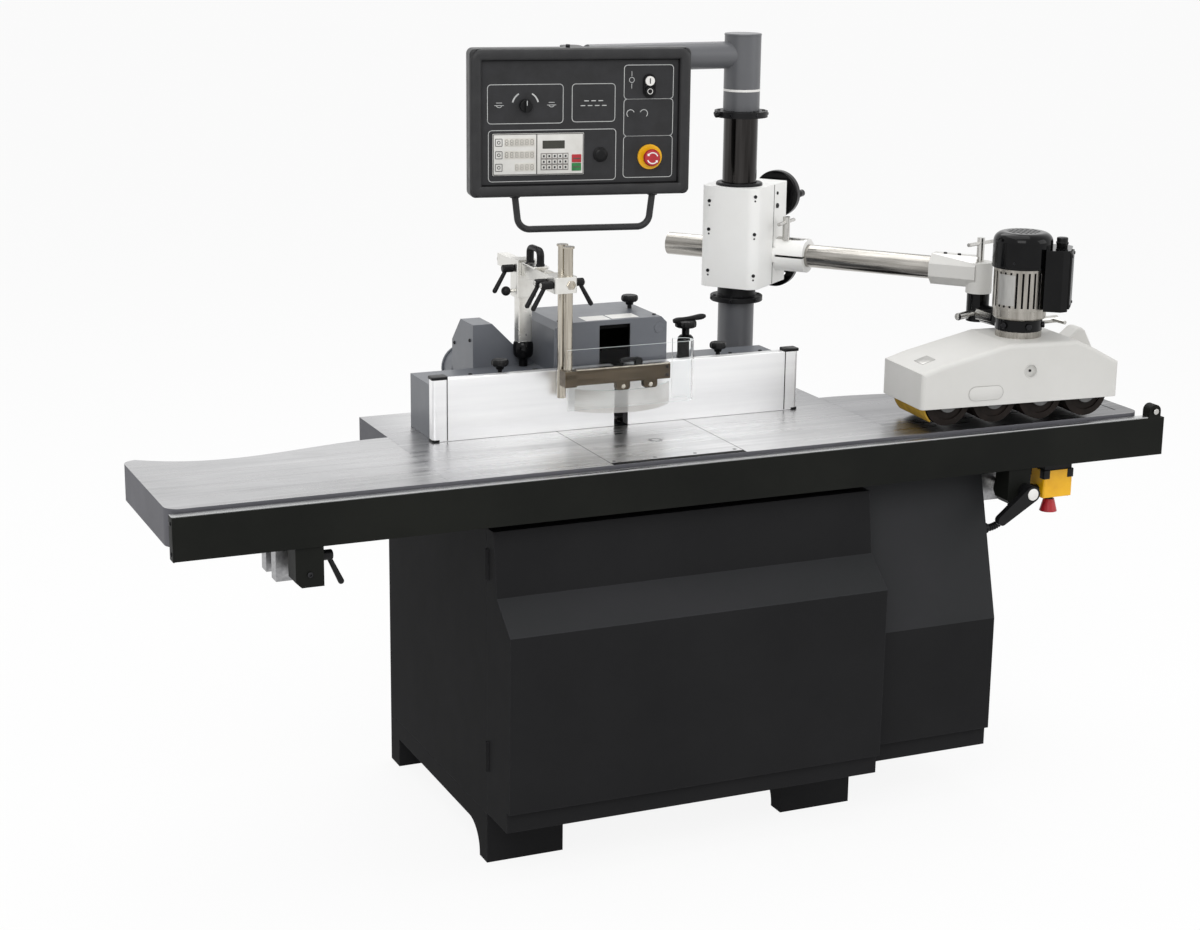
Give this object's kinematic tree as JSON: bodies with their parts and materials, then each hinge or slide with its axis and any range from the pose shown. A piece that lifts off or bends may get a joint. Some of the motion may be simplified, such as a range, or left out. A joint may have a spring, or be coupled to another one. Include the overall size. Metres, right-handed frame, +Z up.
{
  "type": "spindle moulder",
  "caption": "Spindle moulder with long cast tables, sliding front rail, fence hood, overarm guard, swing panel and a power feeder on a column.",
  "frame": {"origin": "on the floor, under the spindle axis", "axes": "+X to the operator's right along the tables, +Y to the rear, +Z up along the spindle"},
  "size_m": [2.393, 0.9918, 1.757],
  "materials": {
    "black_paint": "satin black powder paint",
    "ground_iron": "ground cast iron, oiled",
    "black_metal": "semi-gloss black",
    "bright_steel": "ground steel",
    "black_plastic": "moulded black plastic",
    "yellow_plastic": "yellow and black plastic",
    "red_plastic": "red plastic",
    "conduit": "ribbed black conduit",
    "machined_iron": "machined casting",
    "motor_paint": "grey motor paint",
    "belt_rubber": "ribbed drive belt",
    "hood_paint": "blue-grey textured paint",
    "fence_alu": "fine anodised aluminium",
    "grey_paint": "grey powder paint",
    "white_paint": "off-white paint",
    "chrome": "hard chrome",
    "bar_steel": "dark oiled steel bar",
    "clear_sheet": "clear plastic sheet",
    "roller_rubber": "dark tread rubber",
    "panel_plastic": "dark grey panel",
    "keypad": "white keypad",
    "white_plastic": "white push button",
    "motor_alloy": "finned cast aluminium"
  },
  "bodies": {
    "machine": {"cabinet_base": "black_paint", "cabinet_body": "black_paint", "side_cabinet": "black_paint", "centre_table": "ground_iron", "left_wing": "ground_iron", "right_wing": "ground_iron", "table_insert": "bright_steel", "rail_blocks": "machined_iron", "stop_box": "yellow_plastic", "stop_conduit": "conduit", "lift_ways": "machined_iron", "column_base": "grey_paint", "column_tube": "chrome"},
    "door": {"front_door": "black_paint"},
    "rail": {"front_rail": "black_metal", "rail_strip": "bright_steel"},
    "rail_lever_left": {"rail_lever_left": "black_plastic"},
    "rail_lever_right": {"rail_lever_right": "black_plastic"},
    "low_stop": {"stop_box_button": "red_plastic"},
    "lift": {"spindle_housing": "machined_iron", "drive_motor": "motor_paint", "drive_belt": "belt_rubber"},
    "lift_screw": {"lift_screw": "bright_steel"},
    "spindle": {"spindle_shaft": "bright_steel"},
    "motor_pulley": {"motor_pulley": "machined_iron"},
    "carriage": {"hood_body": "hood_paint", "dust_chute": "hood_paint", "clamp_knobs": "black_plastic", "guard_post": "grey_paint"},
    "fence_left": {"fence_plate_left": "fence_alu"},
    "fence_right": {"fence_plate_right": "fence_alu"},
    "guard_head": {"guard_head": "black_metal"},
    "head_lever": {"head_lever": "black_plastic"},
    "guard_beam": {"guard_beam": "fence_alu", "rod_levers": "black_plastic", "beam_handle": "black_plastic"},
    "rod_left": {"rod_left": "chrome"},
    "rod_right": {"rod_right": "chrome", "press_bar": "bar_steel", "clear_guard": "clear_sheet"},
    "lift_collar": {"lift_collar": "black_metal"},
    "stand": {"stand_bracket": "white_paint"},
    "lift_handwheel": {"lift_handwheel": "black_plastic"},
    "arm": {"feeder_arm": "chrome", "swivel_elbow": "white_paint"},
    "arm_handwheel": {"arm_handwheel": "black_plastic"},
    "swivel": {"swivel_joint": "black_metal"},
    "feeder": {"feeder_body": "white_paint", "feeder_motor": "motor_alloy"},
    "panel_arm": {"panel_arm": "grey_paint"},
    "panel": {"panel_case": "panel_plastic", "panel_handle": "black_metal", "panel_keypad": "keypad"},
    "selector": {"panel_selector": "black_plastic"},
    "start_button": {"start_button": "white_plastic"},
    "panel_stop": {"panel_stop_button": "red_plastic"},
    "roller_1": {"feeder_roller_1": "roller_rubber"},
    "roller_2": {"feeder_roller_2": "roller_rubber"},
    "roller_3": {"feeder_roller_3": "roller_rubber"},
    "roller_4": {"feeder_roller_4": "roller_rubber"}
  },
  "joints": [
    {"name": "door_hinge", "type": "hinge", "parent": "machine", "child": "door", "pos_m": [-0.434, -0.3213, 0.4], "axis": [0, 0, 1], "range_deg": [-95, 0]},
    {"name": "rail_slide", "type": "slide", "parent": "machine", "child": "rail", "axis": [0, -1, 0], "range_m": [0, 0.25]},
    {"name": "rail_lever_left_turn", "type": "hinge", "parent": "rail", "child": "rail_lever_left", "pos_m": [-0.817, -0.362, 0.77], "axis": [1, 0, 0], "range_deg": [-40, 40]},
    {"name": "rail_lever_right_turn", "type": "hinge", "parent": "rail", "child": "rail_lever_right", "pos_m": [0.881, -0.39, 0.744], "axis": [0, -1, 0], "range_deg": [-30, 60]},
    {"name": "low_stop_press", "type": "slide", "parent": "machine", "child": "low_stop", "axis": [0, 0, 1], "range_m": [0, 0.006], "stiffness_N_per_m": 1500},
    {"name": "spindle_lift", "type": "slide", "parent": "machine", "child": "lift", "axis": [0, 0, 1], "range_m": [0, 0.12]},
    {"name": "lift_screw_turn", "type": "hinge", "parent": "machine", "child": "lift_screw", "pos_m": [0, 0.092, 0.345], "axis": [0, 0, 1], "range_deg": [-10, 2170]},
    {"name": "motor_spin", "type": "hinge", "parent": "lift", "child": "motor_pulley", "pos_m": [0.262, 0, 0.42], "axis": [0, 0, 1], "continuous": true},
    {"name": "spindle_spin", "type": "hinge", "parent": "lift", "child": "spindle", "pos_m": [0, 0, 0.42], "axis": [0, 0, 1], "continuous": true},
    {"name": "fence_slide", "type": "slide", "parent": "machine", "child": "carriage", "axis": [0, 1, 0], "range_m": [-0.03, 0.05]},
    {"name": "fence_left_slide", "type": "slide", "parent": "carriage", "child": "fence_left", "axis": [-1, 0, 0], "range_m": [0, 0.1]},
    {"name": "fence_right_slide", "type": "slide", "parent": "carriage", "child": "fence_right", "axis": [1, 0, 0], "range_m": [0, 0.1]},
    {"name": "guard_height", "type": "slide", "parent": "carriage", "child": "guard_head", "axis": [0, 0, 1], "range_m": [-0.015, 0.012]},
    {"name": "head_lever_turn", "type": "hinge", "parent": "guard_head", "child": "head_lever", "pos_m": [-0.207, 0.105, 1.254], "axis": [1, 0, 0], "range_deg": [-60, 60]},
    {"name": "guard_reach", "type": "slide", "parent": "guard_head", "child": "guard_beam", "axis": [0, 1, 0], "range_m": [-0.06, 0.01]},
    {"name": "rod_left_slide", "type": "slide", "parent": "guard_beam", "child": "rod_left", "axis": [0, 0, 1], "range_m": [-0.03, 0.03]},
    {"name": "press_height", "type": "slide", "parent": "guard_beam", "child": "rod_right", "axis": [0, 0, 1], "range_m": [-0.01, 0.03]},
    {"name": "feeder_lift", "type": "slide", "parent": "machine", "child": "lift_collar", "axis": [0, 0, 1], "range_m": [0, 0.15]},
    {"name": "stand_swing", "type": "hinge", "parent": "lift_collar", "child": "stand", "pos_m": [0.463, 0.295, 1.143], "axis": [0, 0, 1], "range_deg": [-15, 15]},
    {"name": "lift_wheel_turn", "type": "hinge", "parent": "stand", "child": "lift_handwheel", "pos_m": [0.58368, 0.34955, 1.352], "axis": [0.7749, 0.632, 0], "range_deg": [-5, 2165]},
    {"name": "arm_slide", "type": "slide", "parent": "stand", "child": "arm", "axis": [0.632, -0.7749, 0], "range_m": [-0.06, 0.06]},
    {"name": "arm_wheel_turn", "type": "hinge", "parent": "stand", "child": "arm_handwheel", "pos_m": [0.58368, 0.34955, 1.176], "axis": [0.7749, 0.632, 0], "range_deg": [-200, 200]},
    {"name": "head_swivel", "type": "hinge", "parent": "arm", "child": "swivel", "pos_m": [0.90232, -0.11708, 1.166], "axis": [0, 0, 1], "range_deg": [-15, 15]},
    {"name": "feeder_yaw", "type": "hinge", "parent": "swivel", "child": "feeder", "pos_m": [0.92129, -0.26499, 1.105], "axis": [0, 0, 1], "range_deg": [-12, 12]},
    {"name": "roller_1_spin", "type": "hinge", "parent": "feeder", "child": "roller_1", "pos_m": [0.70083, -0.24957, 0.96], "axis": [0.0698, 0.9976, 0], "continuous": true},
    {"name": "roller_2_spin", "type": "hinge", "parent": "feeder", "child": "roller_2", "pos_m": [0.82153, -0.25801, 0.96], "axis": [0.0698, 0.9976, 0], "continuous": true},
    {"name": "roller_3_spin", "type": "hinge", "parent": "feeder", "child": "roller_3", "pos_m": [0.94224, -0.26645, 0.96], "axis": [0.0698, 0.9976, 0], "continuous": true},
    {"name": "roller_4_spin", "type": "hinge", "parent": "feeder", "child": "roller_4", "pos_m": [1.06294, -0.27489, 0.96], "axis": [0.0698, 0.9976, 0], "continuous": true},
    {"name": "panel_arm_swing", "type": "hinge", "parent": "machine", "child": "panel_arm", "pos_m": [0.463, 0.295, 1.706], "axis": [0, 0, 1], "range_deg": [-20, 40]},
    {"name": "panel_swivel", "type": "hinge", "parent": "panel_arm", "child": "panel", "pos_m": [0.009, 0.295, 1.706], "axis": [0, 0, 1], "range_deg": [-20, 8]},
    {"name": "selector_turn", "type": "hinge", "parent": "panel", "child": "selector", "pos_m": [-0.12776, 0.22773, 1.607], "axis": [-0.1736, -0.9848, 0], "range_deg": [-60, 60]},
    {"name": "start_press", "type": "slide", "parent": "panel", "child": "start_button", "axis": [0.1736, 0.9848, 0], "range_m": [0, 0.004], "stiffness_N_per_m": 900},
    {"name": "panel_stop_press", "type": "slide", "parent": "panel", "child": "panel_stop", "axis": [0.1736, 0.9848, 0], "range_m": [0, 0.006], "stiffness_N_per_m": 1500}
  ],
  "couplings": [
    {"joint": "spindle_spin", "follows": "motor_spin", "ratio": 1.3571},
    {"joint": "lift_screw_turn", "follows": "spindle_lift", "rad_per_m": 314.16},
    {"joint": "lift_wheel_turn", "follows": "feeder_lift", "rad_per_m": 251.33},
    {"joint": "arm_wheel_turn", "follows": "arm_slide", "rad_per_m": 50},
    {"joint": "roller_2_spin", "follows": "roller_1_spin", "ratio": 1},
    {"joint": "roller_3_spin", "follows": "roller_1_spin", "ratio": 1},
    {"joint": "roller_4_spin", "follows": "roller_1_spin", "ratio": 1}
  ]
}
